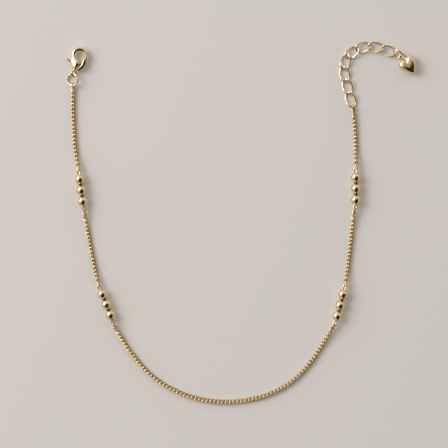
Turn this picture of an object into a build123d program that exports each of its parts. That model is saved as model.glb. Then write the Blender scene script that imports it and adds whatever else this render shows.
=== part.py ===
from build123d import *
import math
import os

# A charm anklet, laid open on a table: a fine curb chain with four stations of three
# polished beads, a lobster clasp on one end, and on the other a short extender of large
# curb links that ends in a puffed heart. Millimetres. The table is the plane Z = 0.

# ---- fine chain, drawn as one oval bar per stretch, with a real link at each end
CHAIN_WIDTH = 1.5
CHAIN_THICKNESS = 1.1
END_LINK_RADIUS = 0.55
END_LINK_WIRE = 0.38
TUBE_INTO_END_LINK = 0.05

# ---- bead stations
BEAD_DIAMETER = 3.05
BEAD_HOLE = 1.3
BEAD_SPACING = 3.35
BEADS_PER_STATION = 3
STATION_CORE = 1.1
EYE_WIRE = 0.42
EYE_LEG_OFFSET = 0.22
EYE_LEG_LENGTH = 0.5
EYE_HALF_WIDTH = 0.5
EYE_LENGTH = 1.75
EYE_TIP_HALF_WIDTH = 0.38
EYE_INSET = 0.95

# ---- extender of large twisted links
LINK_HALF_LENGTH = 2.30
LINK_HALF_WIDTH = 1.42
LINK_TWIST = 0.40
LINK_WIRE = 0.55
LINK_SEAM = 0.04

# ---- lobster clasp, in its own frame: the hole's centre is its origin, +Y its top
CLASP_CENTRE = (-48.66, 50.1)
CLASP_LEAN = -18
CLASP_THICKNESS = 2.6
CLASP_HOLE_RADIUS = 1.5
CLASP_HOLE_CORNER = (0.9, -2.05)
CLASP_BAND = 0.72
CLASP_NECK = (-0.62, 0.45, -4.95)
HOOK_THICKNESS = 1.5
HOOK_ARC = (35, 220)
HOOK_TIP_RADIUS = 12.0
HOOK_TIP_TURN = 9.5
CLASP_EYE_DROP = 5.75
CLASP_EYE_TILT = 38
CLASP_EYE_RADIUS = 0.86
CLASP_EYE_WIRE = 0.42
PIVOT = (0.2, -2.9)
RIVET_DIAMETER = 0.7
RIVET_INSET = 0.06
TURNING_GAP = 0.05
LEVER_HUB_RADIUS = 0.78
LEVER_THICKNESS = 0.8
GATE_THICKNESS = 1.5
SLOT_WIDTH = 0.94
THUMB_TAB_END = (-3.05, -2.25)
THUMB_TAB_RADIUS = 0.38

# ---- jump rings: centre line radius, wire, heading of the long axis, tilt about it
CLASP_RING = dict(centre=(-50.72, 42.67), radius=1.72, wire=0.62, heading=97, tilt=25.2)
HEART_RING = dict(centre=(46.65, 50.43), radius=1.4, wire=0.46, heading=-35, tilt=-49.9)

# ---- puffed heart, in its own frame: +Y from the tip to the notch
HEART_CENTRE = (49.8, 47.25)
HEART_HEADING = 125.1
HEART_THICKNESS = 2.84
HEART_HEIGHT = 1.46
LOBE_CENTRE = (1.2, 0.84)
LOBE_RADIUS = 1.34
FLANK_RADIUS = 5.0
TIP_CENTRE = (0, -3.05)
TIP_RADIUS = 0.45
HEART_MIDDLE = (0, 0.1)
DOME_ANGLES = (-80, -62, -40, -18, 0, 18, 40, 62, 80)
DOME_FULLNESS = 0.8
BAIL_RADIUS = 0.82
BAIL_STRAIGHT = 0.5
BAIL_WIRE = 0.42
BAIL_RISE = 2.68

BEAD_AXIS_HEIGHT = BEAD_DIAMETER / 2
CHAIN_HEIGHT = CHAIN_THICKNESS / 2
LINK_HEIGHT = LINK_TWIST + LINK_WIRE / 2
CLASP_HEIGHT = CLASP_THICKNESS / 2

# Bead stations, from the clasp to the extender. heading is the way along the chain;
# bend_in and bend_out turn the wire's eyes at the clasp's side and at the extender's.
#           x       y      heading  bend_in  bend_out
STATIONS = [
    (-48.14, 9.57, -82.9, 0, 6),
    (-40.60, -24.66, -68.3, 0, -2),
    (29.45, -24.90, 75.0, -7, 2),
    (34.13, 10.06, 90.0, -8, 0),
]

# Extender links, from the chain to the heart.
#            x      y     heading
EXTENDER = [
    (32.63, 36.72, 110),
    (31.68, 40.55, 105),
    (30.84, 44.29, 102),
    (31.02, 47.98, 75),
    (33.05, 50.83, 38),
    (36.42, 52.44, 12),
    (40.19, 52.44, -10),
    (43.96, 51.32, -21),
]

# Points that the five stretches of chain turn at, between their end links.
ROUTES = {
    "chain_clasp_side": [(-50.62, 37.4), (-50.58, 32.4), (-50.28, 26.4), (-49.88, 20.6)],
    "chain_left": [(-46.42, -1.5), (-45.25, -8.0), (-44.1, -13.9)],
    "chain_front": [
        (-36.2, -34.6), (-32.2, -40.6), (-26.6, -46.7), (-19.3, -51.1), (-10.6, -53.7),
        (-1.6, -54.0), (7.3, -52.2), (14.9, -48.2), (20.3, -42.7), (24.6, -36.2),
    ],
    "chain_right": [(31.72, -13.9), (32.52, -7.6), (33.1, -1.5)],
    "chain_extender_side": [(34.2, 21.6), (34.05, 26.6), (33.82, 30.6)],
}


def direction(heading):
    """Level unit vector at this heading, in degrees from +X."""
    return Vector(math.cos(math.radians(heading)), math.sin(math.radians(heading)), 0)


def frame(x, y, z, heading):
    """Level frame at a point, its X along the heading."""
    return Plane(origin=(x, y, z), x_dir=direction(heading), z_dir=(0, 0, 1))


def wire_along(path, diameter):
    """Round wire swept along a path."""
    start = Plane(origin=path @ 0, z_dir=path % 0)
    return sweep(start * Circle(diameter / 2), path=path)


def corner_radii(points, share=0.45):
    """Largest even arcs: a share of the shorter run, over the tangent of half the turn."""
    points = [Vector(*p) for p in points]
    radii = []
    for before, corner, after in zip(points, points[1:], points[2:]):
        first, second = corner - before, after - corner
        half_turn = math.radians(first.get_angle(second) / 2)
        radii.append(share * min(first.length, second.length) / math.tan(half_turn))
    return radii


def ring(centre, axis, radius, wire):
    """Closed round ring of wire about an axis."""
    return Plane(origin=centre, z_dir=axis) * Torus(radius, wire / 2)


def tilted_ring(centre, radius, wire, heading, tilt):
    """Jump ring that leans on the table: its plane, its centre and its solid."""
    along = direction(heading)
    across = direction(heading - 90)
    rise = math.radians(tilt)
    up_slope = across * math.cos(rise) + Vector(0, 0, math.sin(rise))
    height = radius * abs(math.sin(rise)) + wire / 2
    plane = Plane(
        origin=(*centre, height), x_dir=along, z_dir=along.cross(up_slope)
    )
    return plane, plane * Torus(radius, wire / 2)


def bead():
    """Polished ball with a straight hole, its hole along X."""
    return Sphere(BEAD_DIAMETER / 2) - Cylinder(
        BEAD_HOLE / 2, 2 * BEAD_DIAMETER, rotation=(0, 90, 0)
    )


# The eye leaves the last bead as two legs, widens and closes round in a drop shape.
EYE_START = BEAD_SPACING + EYE_INSET
EYE_REACH = EYE_LENGTH + BEAD_DIAMETER / 2 - EYE_INSET - EYE_WIRE / 2
EYE_DROP = [
    (0, EYE_LEG_OFFSET),
    (EYE_LEG_LENGTH, EYE_LEG_OFFSET + 0.02),
    (0.55 * EYE_REACH, EYE_HALF_WIDTH),
    (EYE_REACH, EYE_TIP_HALF_WIDTH),
]


def station_eye(side, bend):
    """Drop-shaped eye at one end of a station's wire, in the station's frame."""
    half = [(side * x, y) for x, y in EYE_DROP]
    points = half + [(x, -y) for x, y in reversed(half)]
    path = FilletPolyline(*points, radius=corner_radii([(*p, 0) for p in points]))
    turn = Pos(side * EYE_START, 0, 0) * Rot(0, 0, bend)
    return turn * wire_along(path, EYE_WIRE)


def station_wire(bend_in, bend_out):
    """Wire through a station's beads with an eye soldered on each end."""
    length = 2 * (EYE_START + EYE_LEG_LENGTH) - STATION_CORE / 2
    core = Cylinder(STATION_CORE / 2, length, rotation=(0, 90, 0))
    return core + station_eye(-1, bend_in) + station_eye(1, bend_out)


def eye_tip(station, side):
    """Where an end link hooks a station's eye, and the heading that it leaves at."""
    x, y, heading, bend_in, bend_out = station
    bend = bend_out if side > 0 else bend_in
    reach = direction(heading + bend) * (side * EYE_REACH)
    tip = Vector(x, y, BEAD_AXIS_HEIGHT) + direction(heading) * (side * EYE_START) + reach
    return tip, heading + bend


def link_path():
    """Twisted link's centre line: eight corners, rounded, with a butt seam in one side."""
    inner = math.tan(math.pi / 8)
    corners = []
    for sx, sy in ((1, 1), (-1, 1), (-1, -1), (1, -1)):
        z = -sx * sy * LINK_TWIST
        on_end = (sx * LINK_HALF_LENGTH, sy * inner * LINK_HALF_WIDTH, z)
        on_side = (sx * inner * LINK_HALF_LENGTH, sy * LINK_HALF_WIDTH, z)
        corners += [on_end, on_side] if sx * sy > 0 else [on_side, on_end]
    # the seam is in the middle of the side between the second and third corners
    first, last = Vector(*corners[2]), Vector(*corners[1])
    middle = (first + last) * 0.5
    nudge = (first - last).normalized() * (LINK_SEAM / 2)
    points = [middle + nudge] + corners[2:] + corners[:2] + [middle - nudge]
    points = [tuple(Vector(*p)) for p in points]
    return FilletPolyline(*points, radius=corner_radii(points))


def end_link(centre, axis):
    """Last link of a stretch of chain, closed round what it hooks."""
    return ring(centre, axis, END_LINK_RADIUS, END_LINK_WIRE)


def chain_stretch(name, start, end):
    """Oval bar between two end links. start and end are (hook point, the link's axis)."""
    route = [(x, y, CHAIN_HEIGHT) for x, y in ROUTES[name]]
    overlap = END_LINK_RADIUS - TUBE_INTO_END_LINK
    ends = []
    for (hook, _), neighbour in ((start, route[0]), (end, route[-1])):
        toward = (Vector(*neighbour) - hook).normalized()
        ends.append(tuple(hook + toward * overlap))
    points = [ends[0]] + route + [ends[1]]
    radii = corner_radii(points)
    path = FilletPolyline(*points, radius=radii)
    begin = path % 0
    flat = Plane(origin=path @ 0, x_dir=begin.cross(Vector(0, 0, 1)), z_dir=begin)
    tube = sweep(flat * Ellipse(CHAIN_WIDTH / 2, CHAIN_THICKNESS / 2), path=path)
    section = math.pi * CHAIN_WIDTH * CHAIN_THICKNESS / 4
    print(name, "length", round(path.length, 1), "radii", [round(r, 1) for r in radii],
          "volume over section x length", round(tube.volume / section / path.length, 4))
    return tube + end_link(*start) + end_link(*end)


def flank_centre():
    """Centre of the right flank's arc, which touches the lobe and the tip from outside."""
    lobe, tip = Vector(*LOBE_CENTRE), Vector(*TIP_CENTRE)
    to_lobe, to_tip = FLANK_RADIUS - LOBE_RADIUS, FLANK_RADIUS - TIP_RADIUS
    apart = (lobe - tip).length
    along = (to_tip**2 - to_lobe**2 + apart**2) / (2 * apart)
    aside = math.sqrt(to_tip**2 - along**2)
    forward = (lobe - tip).normalized()
    return tip + forward * along + Vector(-forward.Y, forward.X) * aside


def arc_about(centre, start, end):
    """Short arc from start to end about a centre."""
    middle = (start + end) * 0.5 - centre
    return (start, centre + middle.normalized() * (start - centre).length, end)


def mirrored(arc):
    """The same arc on the other side of the Y axis, run the other way."""
    return tuple(Vector(-p.X, p.Y) for p in reversed(arc))


def heart_outline(scale, height):
    """Heart of five tangent arcs, shrunk towards its middle, at a height."""
    flank = flank_centre()
    lobe, tip = Vector(*LOBE_CENTRE), Vector(*TIP_CENTRE)
    notch = Vector(0, lobe.Y + math.sqrt(LOBE_RADIUS**2 - lobe.X**2))
    lobe_end = flank + (lobe - flank).normalized() * FLANK_RADIUS
    tip_end = flank + (tip - flank).normalized() * FLANK_RADIUS
    lobe_arc = arc_about(lobe, notch, lobe_end)
    flank_arc = arc_about(flank, lobe_end, tip_end)
    tip_arc = arc_about(tip, tip_end, Vector(-tip_end.X, tip_end.Y))
    arcs = [lobe_arc, flank_arc, tip_arc, mirrored(flank_arc), mirrored(lobe_arc)]
    outline = make_face([ThreePointArc(*arc) for arc in arcs])
    middle = Pos(*HEART_MIDDLE)
    return Pos(0, 0, height) * middle * outline.moved(middle.inverse()).scale(scale)


def heart():
    """Puffed heart, domed on both sides, with its bail soldered in the notch."""
    steepest = math.sin(math.radians(max(DOME_ANGLES)))
    sections = []
    for angle in DOME_ANGLES:
        lift = math.radians(angle)
        height = HEART_THICKNESS / 2 * math.sin(lift) / steepest
        sections.append(heart_outline(math.cos(lift) ** DOME_FULLNESS, height))
    bail_line = SlotCenterToCenter(BAIL_STRAIGHT, 2 * BAIL_RADIUS, rotation=90).wire()
    bail = Pos(0, BAIL_RISE, 0) * wire_along(bail_line, BAIL_WIRE)
    return loft(sections) + bail


def hook_arc(radius, start, end):
    """Part of the hook: its oval band turned about +Z, between two angles."""
    section = Plane.XZ * (Pos(radius, 0) * Ellipse(CLASP_BAND / 2, HOOK_THICKNESS / 2))
    return Rot(0, 0, start) * revolve(section, axis=Axis.Z, revolution_arc=end - start)


def clasp_hook():
    """Round hook, then a nearly straight tip that leaves it outwards."""
    middle = CLASP_HOLE_RADIUS + CLASP_BAND / 2
    start, end = HOOK_ARC
    tip_centre = direction(start) * (middle - HOOK_TIP_RADIUS)
    tip = hook_arc(HOOK_TIP_RADIUS, start - HOOK_TIP_TURN, start)
    return hook_arc(middle, start, end) + Pos(tip_centre) * tip


def clasp_cheeks():
    """Puffed lower body, before the hole and the slot are cut: outline by side profile."""
    outer = CLASP_HOLE_RADIUS + CLASP_BAND
    neck_left, neck_right, neck_y = CLASP_NECK
    outline = make_face(
        [
            Line((-outer, 0), (-outer, -1.2)),
            Bezier((-outer, -1.2), (-2.15, -2.7), (-1.4, -3.9), (neck_left, neck_y)),
            Line((neck_left, neck_y), (neck_right, neck_y)),
            Bezier((neck_right, neck_y), (0.3, -4.2), (0.7, -3.3), (0.98, -2.6)),
            Line((0.98, -2.6), CLASP_HOLE_CORNER),
            Line(CLASP_HOLE_CORNER, (0, 0)),
            Line((0, 0), (-outer, 0)),
        ]
    )
    half = CLASP_THICKNESS / 2
    profile = make_face(
        [
            Line((0.3, 0.2), (0.3, -0.2)),
            Bezier((0.3, -0.2), (-0.5, -0.6), (-1.2, -half), (-2.4, -half)),
            Bezier((-2.4, -half), (-3.8, -half), (-4.2, -0.5), (-5.0, -0.34)),
            Line((-5.0, -0.34), (-5.0, 0.34)),
            Bezier((-5.0, 0.34), (-4.2, 0.5), (-3.8, half), (-2.4, half)),
            Bezier((-2.4, half), (-1.2, half), (-0.5, 0.6), (0.3, 0.2)),
        ]
    )
    side_view = extrude(Plane.YZ * profile, amount=2 * outer, both=True)
    return extrude(outline, amount=half, both=True) & side_view


def hole_and_slot():
    """What is cut from the cheeks: drop-shaped hole, lever's slot and rivet bore."""
    corner = Vector(*CLASP_HOLE_CORNER)
    to_corner = math.degrees(math.atan2(corner.Y, corner.X))
    to_tangent = math.degrees(math.acos(CLASP_HOLE_RADIUS / corner.length))
    tangent = direction(to_corner - to_tangent) * CLASP_HOLE_RADIUS
    wedge = make_face(Polyline((0, 0), (tangent.X, tangent.Y), CLASP_HOLE_CORNER, (0, 0)))
    hole = Circle(CLASP_HOLE_RADIUS) + wedge
    slot = Pos(-1.6, -2.97) * Rectangle(3.6, 2.36) + Pos(1.2, -2.55) * Rectangle(3.2, 3.2)
    bore = Pos(*PIVOT) * Circle((RIVET_DIAMETER + TURNING_GAP) / 2)
    through = extrude(hole + bore, amount=CLASP_THICKNESS, both=True)
    return through + extrude(slot, amount=SLOT_WIDTH / 2, both=True)


def clasp_body():
    """Hook, hollow lower body and soldered eye of the lobster clasp, as one piece."""
    turn = Pos(0, -CLASP_EYE_DROP, 0) * Rot(0, CLASP_EYE_TILT, 0)
    eye = turn * Torus(CLASP_EYE_RADIUS, CLASP_EYE_WIRE / 2)
    return clasp_hook() + (clasp_cheeks() - hole_and_slot()) + eye


def clasp_lever():
    """Sprung lever: hub, thick gate that closes the hook, and thumb tab."""
    gate = make_face(
        [
            Bezier((1.52, -0.2), (1.42, -1.2), (1.25, -1.7), (1.3, -2.3)),
            Bezier((1.3, -2.3), (1.32, -3.0), (0.95, -3.6), (0.72, -4.1)),
            ThreePointArc((0.72, -4.1), (0.85, -4.4), (1.15, -4.3)),
            Bezier((1.15, -4.3), (1.9, -3.7), (2.5, -2.3), (2.4, -1.25)),
            Line((2.4, -1.25), (2.08, -0.95)),
            Line((2.08, -0.95), (1.74, -0.17)),
            ThreePointArc((1.74, -0.17), (1.64, -0.1), (1.52, -0.2)),
        ]
    )
    hub = Pos(*PIVOT) * Circle(LEVER_HUB_RADIUS)
    arm = make_face(Polyline((0.2, -2.12), (1.4, -2.1), (1.5, -3.3), (0.2, -3.68), (0.2, -2.12)))
    tab_end = Pos(*THUMB_TAB_END) * Circle(THUMB_TAB_RADIUS)
    tab = make_face(
        Polyline((0.1, -3.6), (-3.09, -2.63), (-2.99, -1.87), (0.1, -2.2), (0.1, -3.6))
    )
    bore = Pos(*PIVOT) * Circle(RIVET_DIAMETER / 2 + TURNING_GAP)
    web = extrude(hub + arm + tab + tab_end - bore, amount=LEVER_THICKNESS / 2, both=True)
    return web + extrude(gate, amount=GATE_THICKNESS / 2, both=True)


def clasp_rivet():
    """Plain rivet that the lever turns on."""
    length = CLASP_THICKNESS - 2 * RIVET_INSET
    return Pos(*PIVOT, 0) * Cylinder(RIVET_DIAMETER / 2, length)


def save(node, solid):
    """Writes one piece, and says what it is."""
    solids = solid.solids()
    print(f"{node}: {len(solids)} solid, {solid.volume:.3f} mm3")
    solid.label = node
    export_step(solids[0] if len(solids) == 1 else solid, f"parts/{node}.step")


def main():
    os.makedirs("parts", exist_ok=True)

    clasp_frame = Plane(
        origin=(*CLASP_CENTRE, CLASP_HEIGHT), x_dir=direction(CLASP_LEAN), z_dir=(0, 0, 1)
    )
    save("clasp_body", clasp_frame * clasp_body())
    save("clasp_lever", clasp_frame * clasp_lever())
    save("clasp_rivet", clasp_frame * clasp_rivet())
    pivot = clasp_frame.from_local_coords(Vector(*PIVOT, 0))
    print("clasp pivot", tuple(round(v, 3) for v in pivot))

    ring_plane, clasp_ring = tilted_ring(**CLASP_RING)
    save("clasp_ring", clasp_ring)
    save("heart_ring", tilted_ring(**HEART_RING)[1])
    save("heart", frame(*HEART_CENTRE, HEART_HEIGHT, HEART_HEADING - 90) * heart())

    number = 0
    for index, (x, y, heading, bend_in, bend_out) in enumerate(STATIONS, start=1):
        place = frame(x, y, BEAD_AXIS_HEIGHT, heading)
        save(f"station_wire_{index}", place * station_wire(bend_in, bend_out))
        for step in range(BEADS_PER_STATION):
            number += 1
            offset = (step - (BEADS_PER_STATION - 1) / 2) * BEAD_SPACING
            save(f"bead_{number:02d}", place * (Pos(offset, 0, 0) * bead()))

    path = link_path()
    link = wire_along(path, LINK_WIRE)
    for index, (x, y, heading) in enumerate(EXTENDER, start=1):
        save(f"extender_link_{index}", frame(x, y, LINK_HEIGHT, heading) * link)

    # what each stretch of chain hooks: a point of a ring, eye or link, and its wire's way
    ring_bottom = ring_plane.from_local_coords(Vector(-CLASP_RING["radius"], 0, 0))
    hooks = [(ring_bottom, ring_plane.y_dir)]
    for station in STATIONS:
        for side in (-1, 1):
            tip, heading = eye_tip(station, side)
            hooks.append((tip, direction(heading + 90)))
    x, y, heading = EXTENDER[0]
    first_link = frame(x, y, LINK_HEIGHT, heading)
    link_end = first_link.from_local_coords(Vector(-LINK_HALF_LENGTH, 0, 0))
    wire_way = first_link.y_dir * (LINK_HALF_WIDTH) + Vector(0, 0, 2 * LINK_TWIST)
    hooks.append((link_end, wire_way))
    for index, name in enumerate(ROUTES):
        save(name, chain_stretch(name, hooks[2 * index], hooks[2 * index + 1]))


main()
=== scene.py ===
# %% [markdown]
# # A gold charm anklet in Blender
# The real object is a fine curb chain with four stations of three polished beads, a lobster
# clasp at one end, and at the other a short extender of large links that ends in a puffed
# heart. It lies open on a pale table. The CAD model already holds every size, so this lesson
# only gives it its looks: rounded wires, real links instead of plain bars, and gold that
# reflects the room. Lengths are in metres and angles in degrees, in the CAD model's own
# frame, unless a comment says otherwise.

# %% Load the CAD model
import math

import bpy
import numpy as np
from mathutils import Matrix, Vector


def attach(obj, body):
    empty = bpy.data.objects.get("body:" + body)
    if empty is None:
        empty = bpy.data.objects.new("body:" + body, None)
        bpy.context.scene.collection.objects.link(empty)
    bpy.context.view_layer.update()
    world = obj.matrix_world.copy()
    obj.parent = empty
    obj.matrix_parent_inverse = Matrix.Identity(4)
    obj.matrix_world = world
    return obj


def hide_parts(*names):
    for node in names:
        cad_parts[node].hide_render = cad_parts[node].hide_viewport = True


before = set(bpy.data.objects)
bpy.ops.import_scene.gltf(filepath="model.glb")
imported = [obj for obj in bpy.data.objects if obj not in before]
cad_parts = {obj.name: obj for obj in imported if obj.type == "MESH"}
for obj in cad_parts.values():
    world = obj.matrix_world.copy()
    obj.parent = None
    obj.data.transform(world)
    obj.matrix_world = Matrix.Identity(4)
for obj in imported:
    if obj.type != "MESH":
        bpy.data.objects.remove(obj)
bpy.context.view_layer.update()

# %% [markdown]
# ## Directions and places
# Every shape here is an array of points, worked out in one go. A direction on the table is
# one angle, the heading, counted from +X. A piece is drawn in its own flat frame, with its
# length along X, and then carried to its place. Moving the object instead would be shorter,
# but then a pattern on it would turn with it, so the place goes into the points.

# %% Directions and frames
UP = np.array([0.0, 0.0, 1.0])


def unit(v):
    """Each vector divided by its length."""
    v = np.asarray(v, float)
    return v / np.linalg.norm(v, axis=-1, keepdims=True)


def way(heading):
    """Level unit vector (cos h, sin h, 0) at a heading in degrees."""
    turn = math.radians(heading)
    return np.array([math.cos(turn), math.sin(turn), 0.0])


def carry(points, origin, along, normal=UP):
    """Points from a local frame to the world: origin + x * along + y * (normal x along)
    + z * normal. The normal is first made square to the way along."""
    along = unit(along)
    side = unit(np.cross(normal, along))
    axes = np.stack([along, side, np.cross(along, side)])
    return np.asarray(origin) + points @ axes


# %% [markdown]
# ## One way to make a skin
# Wire, beads, the heart and the clasp are all the same kind of surface: a row of closed
# rings, each joined to the next by quads. If the last ring meets the first, the skin is a
# closed loop, like a link. If not, each end is closed by a fan of triangles to the middle of
# its ring. The rings may carry one more axis in front, for many copies in one mesh. Blender's
# own curves can make round wire too, but not a bead or a heart, and one way serves them all.

# %% Rings to a mesh
def skin(name, rings, looped=False):
    """Mesh object from rings[copy, ring, point, xyz]. Face (i, j) joins points j and j + 1 of
    rings i and i + 1, and the signed volume says whether to turn the faces outwards."""
    rings = np.asarray(rings, float)
    rings = rings.reshape((-1,) + rings.shape[-3:])
    copies, rows, sides = rings.shape[:3]
    row = np.arange(rows if looped else rows - 1)[:, None]
    point = np.arange(sides)[None, :]
    after, beside = (row + 1) % rows, (point + 1) % sides
    quads = np.stack([row * sides + point, row * sides + beside,
                      after * sides + beside, after * sides + point], axis=-1).reshape(-1, 4)
    verts = rings.reshape(copies, -1, 3)
    tris = np.zeros((0, 3), int)
    if not looped:
        middles = rings[:, [0, -1]].mean(axis=2)
        verts = np.concatenate([verts, middles], axis=1)
        first, last = rows * sides, rows * sides + 1
        p, q = point[0], beside[0]
        low = np.stack([q, p, np.full(sides, first)], axis=-1)
        top = (rows - 1) * sides
        high = np.stack([top + p, top + q, np.full(sides, last)], axis=-1)
        tris = np.concatenate([low, high])
    thirds = np.concatenate([quads[:, [0, 1, 2]], quads[:, [0, 2, 3]], tris])
    a, b, c = (verts[0][thirds[:, k]] for k in range(3))
    if (np.cross(a, b) * c).sum() < 0:
        quads, tris = quads[:, ::-1], tris[:, ::-1]
    shift = np.arange(copies)[:, None, None] * verts.shape[1]
    faces = (quads + shift).reshape(-1, 4).tolist() + (tris + shift).reshape(-1, 3).tolist()
    mesh = bpy.data.meshes.new(name)
    mesh.from_pydata(verts.reshape(-1, 3).tolist(), [], faces)
    mesh.polygons.foreach_set("use_smooth", np.ones(len(faces), bool))
    mesh.update()
    piece = bpy.data.objects.new(name, mesh)
    bpy.context.scene.collection.objects.link(piece)
    print(name, len(faces), "faces")
    return piece


# %% [markdown]
# ## Wire
# Round wire is a circle carried along a path. At every point of the path the circle needs
# two directions square to the path, and taking one reference direction for the whole wire
# keeps it from twisting, so that a closed link meets itself without a step.

# %% A circle along a path
def round_wire(path, radius, normal=UP, sides=12, looped=True):
    """Rings of radius r about a path: p + r * (cos a * side + sin a * top), where side is
    square to the path and to the normal, and top is square to both."""
    if looped:
        ahead = unit(np.roll(path, -1, axis=0) - np.roll(path, 1, axis=0))
    else:
        ahead = unit(np.gradient(path, axis=0))
    side = unit(np.cross(normal, ahead))
    top = np.cross(ahead, side)
    angle = np.linspace(0, 2 * np.pi, sides, endpoint=False)[None, :, None]
    radius = np.broadcast_to(radius, len(path))[:, None, None]
    return path[:, None] + radius * (np.cos(angle) * side[:, None] + np.sin(angle) * top[:, None])


# %% [markdown]
# ## Camera
# The anklet is seen from straight above. From close by, a camera would see the beads at the
# edge from their sides, so it stands a metre up with a long lens, and looks on everything
# from nearly the same direction. The lens follows from the width of table that it shows.

# %% Camera, straight above the middle of the view
VIEW_WIDTH = 0.1344
VIEW_CENTRE = (-0.00537, -0.00054)
CAMERA_HEIGHT = 1.0
SENSOR_WIDTH_MM = 36

camera_data = bpy.data.cameras.new("camera")
camera_data.sensor_width = SENSOR_WIDTH_MM
camera_data.lens = SENSOR_WIDTH_MM * CAMERA_HEIGHT / VIEW_WIDTH
camera_data.clip_end = 10
camera = bpy.data.objects.new("camera", camera_data)
camera.location = (*VIEW_CENTRE, CAMERA_HEIGHT)
bpy.context.scene.collection.objects.link(camera)
bpy.context.scene.camera = camera
print("lens", round(camera_data.lens, 1), "mm")

# %% [markdown]
# ## Colours and nodes
# The room, the table and the gold are all made of nodes. Colours are written as on a screen,
# in hex, and Blender wants them linear, so one function turns one into the other. Another
# adds a node of any kind, so that each line below says only what is special about its node.

# %% Node and colour helpers
def linear(code):
    """Linear red, green, blue and 1 from an sRGB hex code, by the sRGB curve."""
    srgb = np.array([int(code[i:i + 2], 16) for i in (1, 3, 5)]) / 255
    return (*np.where(srgb <= 0.04045, srgb / 12.92, ((srgb + 0.055) / 1.055) ** 2.4), 1.0)


def add_node(tree, kind, settings=None, **inputs):
    """Adds a node and sets its properties and inputs. An input is called by its name, or by
    its number after an underscore, and a value that is itself a socket is linked."""
    node = tree.nodes.new(kind)
    for key, value in (settings or {}).items():
        setattr(node, key, value)
    for key, value in inputs.items():
        socket = node.inputs[int(key[1:]) if key[1:].isdigit() else key.replace("_", " ")]
        if isinstance(value, bpy.types.NodeSocket):
            tree.links.new(value, socket)
        else:
            socket.default_value = value
    return node


# %% [markdown]
# ## The room
# Polished metal shows the room more than itself: what a bead needs is a pale wall and a soft
# window on one side, and something dark on the other. A picture of a real room could be
# wrapped round, but a few soft round patches are enough, and each can stand just where the
# gold looks. A patch is full within its inner angle and gone at its outer one, and a later
# patch covers the ones before it.

# %% Room: what the gold sees above the table
#    towards, inner angle, outer angle, brightness in red, green and blue
ROOM_PATCHES = [
    ((-0.30, 0.95, 0.12), 20, 50, (1.00, 1.04, 1.14)),     # pale wall at the back, low
    ((0.45, 0.80, 0.40), 16, 46, (0.74, 0.74, 0.76)),      # greyer wall beside it
    ((-0.84, 0.36, 0.40), 26, 54, (1.04, 1.09, 1.20)),     # pale wall round the window
    ((0.20, -0.42, 0.88), 30, 44, (0.026, 0.014, 0.005)),  # dark ceiling, nearly overhead
    ((0.40, -0.10, 0.91), 18, 31, (0.040, 0.024, 0.010)),  # its edge to the right
    ((0.18, -0.88, 0.42), 16, 36, (0.030, 0.018, 0.008)),  # dark wall in front
]
ROOM_BRIGHTNESS = (0.46, 0.42, 0.37)

world = bpy.data.worlds.new("room")
bpy.context.scene.world = world
world.use_nodes = True
tree = world.node_tree
tree.nodes.clear()
look = add_node(tree, "ShaderNodeTexCoord").outputs["Generated"]
brightness = add_node(tree, "ShaderNodeRGB").outputs[0]
brightness.default_value = (*ROOM_BRIGHTNESS, 1)
for towards, inner, outer, strength in ROOM_PATCHES:
    near = add_node(tree, "ShaderNodeVectorMath", {"operation": "DOT_PRODUCT"},
                    _0=look, _1=tuple(unit(towards))).outputs["Value"]
    mask = add_node(tree, "ShaderNodeMapRange", {"interpolation_type": "SMOOTHSTEP"}, Value=near,
                    From_Min=math.cos(math.radians(outer)),
                    From_Max=math.cos(math.radians(inner))).outputs["Result"]
    brightness = add_node(tree, "ShaderNodeMix", {"data_type": "RGBA"}, _0=mask, _6=brightness,
                          _7=(*strength, 1)).outputs[2]
room = add_node(tree, "ShaderNodeBackground", Color=brightness, Strength=1.0)
add_node(tree, "ShaderNodeOutputWorld", Surface=room.outputs[0])
print(len(ROOM_PATCHES), "patches in the room")

# %% Window: a lamp that faces the middle of the table
WINDOW_TOWARDS = (-0.72, 0.36, 0.60)
WINDOW_DISTANCE = 1.2
WINDOW_SIZE = (0.7, 0.6)
WINDOW_WATTS = 7.2

window_data = bpy.data.lights.new("window", "AREA")
window_data.shape = "RECTANGLE"
window_data.size, window_data.size_y = WINDOW_SIZE
window_data.energy = WINDOW_WATTS
window = bpy.data.objects.new("window", window_data)
window_place = unit(WINDOW_TOWARDS) * WINDOW_DISTANCE
window.location = window_place
window.rotation_mode = "QUATERNION"
window.rotation_quaternion = Vector(-window_place).to_track_quat("-Z", "Y")
bpy.context.scene.collection.objects.link(window)
print("window at", [round(v, 2) for v in window_place])

# %% [markdown]
# ## The table
# It is pale, matt and plain, so one flat sheet is enough. More light on it would also be more
# light on the gold. Instead the sheet glows a little, and only for what looks at it, the
# camera and the polished metal: it comes out pale, and keeps the anklet's soft shadow.

# %% Table
TABLE_COLOUR = "#E8E1DA"
TABLE_ROUGHNESS = 0.9
TABLE_GLOSS = 0.2
TABLE_GLOW = 0.15

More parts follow.
